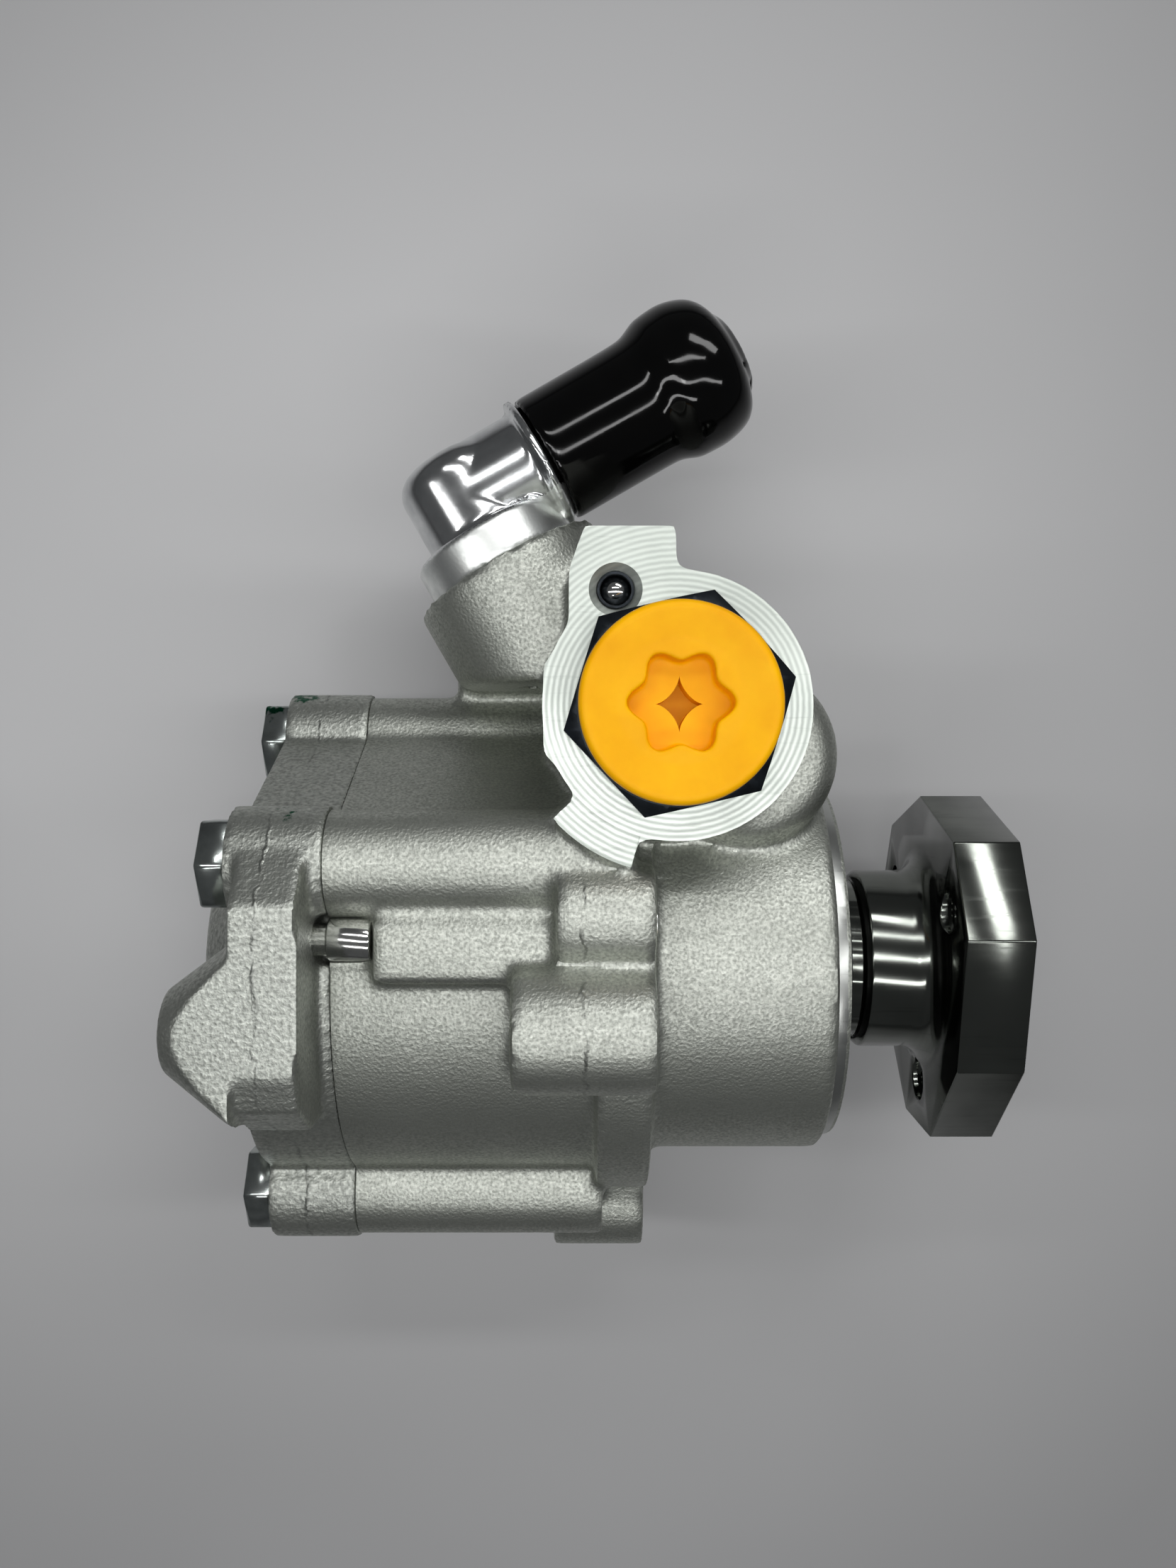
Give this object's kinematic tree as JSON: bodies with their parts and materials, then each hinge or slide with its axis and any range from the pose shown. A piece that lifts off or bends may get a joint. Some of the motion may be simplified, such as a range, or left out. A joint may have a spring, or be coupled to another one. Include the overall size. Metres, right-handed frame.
{
  "type": "power steering pump",
  "caption": "Vane-type power steering pump: die-cast housing and rear cover, pulley hub on a driven shaft, pressure port with shipping plug, suction elbow with cap.",
  "frame": {"origin": "centre of the hub's front face, where the pulley seats, on the shaft's axis", "axes": "+X along the shaft out of the hub, +Z out of the pressure port"},
  "size_m": [0.125, 0.1559, 0.0871],
  "materials": {
    "cast_aluminium": "shot-blasted die-cast aluminium",
    "rubber_seal": "moulded nitrile rubber",
    "zinc_plate": "zinc-plated steel",
    "bright_steel": "ground bright steel",
    "ground_steel": "ground tool steel",
    "spring_steel": "oiled spring steel",
    "bronze": "sintered bronze",
    "hub_steel": "turned zinc-plated steel",
    "black_steel": "black phosphated steel",
    "yellow_plastic": "moulded polyethylene",
    "plated_steel": "bright plated steel",
    "black_vinyl": "dipped soft vinyl"
  },
  "bodies": {
    "pump_housing": {"housing": "cast_aluminium", "rear_cover": "cast_aluminium", "cover_o_ring": "rubber_seal", "cover_screws": "zinc_plate", "locating_dowel": "bright_steel", "cartridge_dowels": "bright_steel", "cam_ring": "ground_steel", "front_pressure_plate": "ground_steel", "rear_plate": "ground_steel", "plate_o_ring": "rubber_seal", "plate_spring": "spring_steel", "rear_bush": "bronze", "bearing_outer_ring": "bright_steel", "bearing_circlip": "spring_steel", "shaft_seal": "rubber_seal", "outlet_union": "black_steel", "union_o_ring": "rubber_seal", "valve_spring": "spring_steel", "outlet_plug": "yellow_plastic", "inlet_elbow": "plated_steel", "inlet_o_ring": "rubber_seal", "inlet_cap": "black_vinyl", "expander_sleeve": "bright_steel", "expander_ball": "bright_steel"},
    "shaft_line": {"hub": "hub_steel", "drive_shaft": "ground_steel", "rotor": "ground_steel", "rotor_circlip": "spring_steel", "bearing_inner_ring": "bright_steel"},
    "ball_set": {"bearing_balls": "bright_steel", "bearing_cage": "bronze"},
    "spool": {"valve_spool": "ground_steel"},
    "vane_1_body": {"vane_1": "ground_steel"},
    "vane_2_body": {"vane_2": "ground_steel"},
    "vane_3_body": {"vane_3": "ground_steel"},
    "vane_4_body": {"vane_4": "ground_steel"},
    "vane_5_body": {"vane_5": "ground_steel"},
    "vane_6_body": {"vane_6": "ground_steel"},
    "vane_7_body": {"vane_7": "ground_steel"},
    "vane_8_body": {"vane_8": "ground_steel"},
    "vane_9_body": {"vane_9": "ground_steel"},
    "vane_10_body": {"vane_10": "ground_steel"}
  },
  "joints": [
    {"name": "shaft_spin", "type": "hinge", "parent": "pump_housing", "child": "shaft_line", "pos_m": [0, 0, 0], "axis": [1, 0, 0], "continuous": true},
    {"name": "ball_set_spin", "type": "hinge", "parent": "pump_housing", "child": "ball_set", "pos_m": [-0.0455, 0, 0], "axis": [1, 0, 0], "continuous": true},
    {"name": "spool_slide", "type": "slide", "parent": "pump_housing", "child": "spool", "axis": [0, 0, 1], "range_m": [-0.007, 0], "stiffness_N_per_m": 5000, "springref_m": 0.002, "deforming": ["valve_spring"]},
    {"name": "vane_1_slide", "type": "slide", "parent": "shaft_line", "child": "vane_1_body", "axis": [0, 0.9511, 0.309], "range_m": [-0.0015, 0]},
    {"name": "vane_2_slide", "type": "slide", "parent": "shaft_line", "child": "vane_2_body", "axis": [0, 0.5878, 0.809], "range_m": [-0.0015, 0]},
    {"name": "vane_3_slide", "type": "slide", "parent": "shaft_line", "child": "vane_3_body", "axis": [0, 0, 1], "range_m": [-0.0015, 0]},
    {"name": "vane_4_slide", "type": "slide", "parent": "shaft_line", "child": "vane_4_body", "axis": [0, -0.5878, 0.809], "range_m": [-0.0015, 0]},
    {"name": "vane_5_slide", "type": "slide", "parent": "shaft_line", "child": "vane_5_body", "axis": [0, -0.9511, 0.309], "range_m": [-0.0015, 0]},
    {"name": "vane_6_slide", "type": "slide", "parent": "shaft_line", "child": "vane_6_body", "axis": [0, -0.9511, -0.309], "range_m": [-0.0015, 0]},
    {"name": "vane_7_slide", "type": "slide", "parent": "shaft_line", "child": "vane_7_body", "axis": [0, -0.5878, -0.809], "range_m": [-0.0015, 0]},
    {"name": "vane_8_slide", "type": "slide", "parent": "shaft_line", "child": "vane_8_body", "axis": [0, 0, -1], "range_m": [-0.0015, 0]},
    {"name": "vane_9_slide", "type": "slide", "parent": "shaft_line", "child": "vane_9_body", "axis": [0, 0.5878, -0.809], "range_m": [-0.0015, 0]},
    {"name": "vane_10_slide", "type": "slide", "parent": "shaft_line", "child": "vane_10_body", "axis": [0, 0.9511, -0.309], "range_m": [-0.0015, 0]}
  ],
  "couplings": [
    {"joint": "ball_set_spin", "follows": "shaft_spin", "ratio": 0.3641}
  ]
}
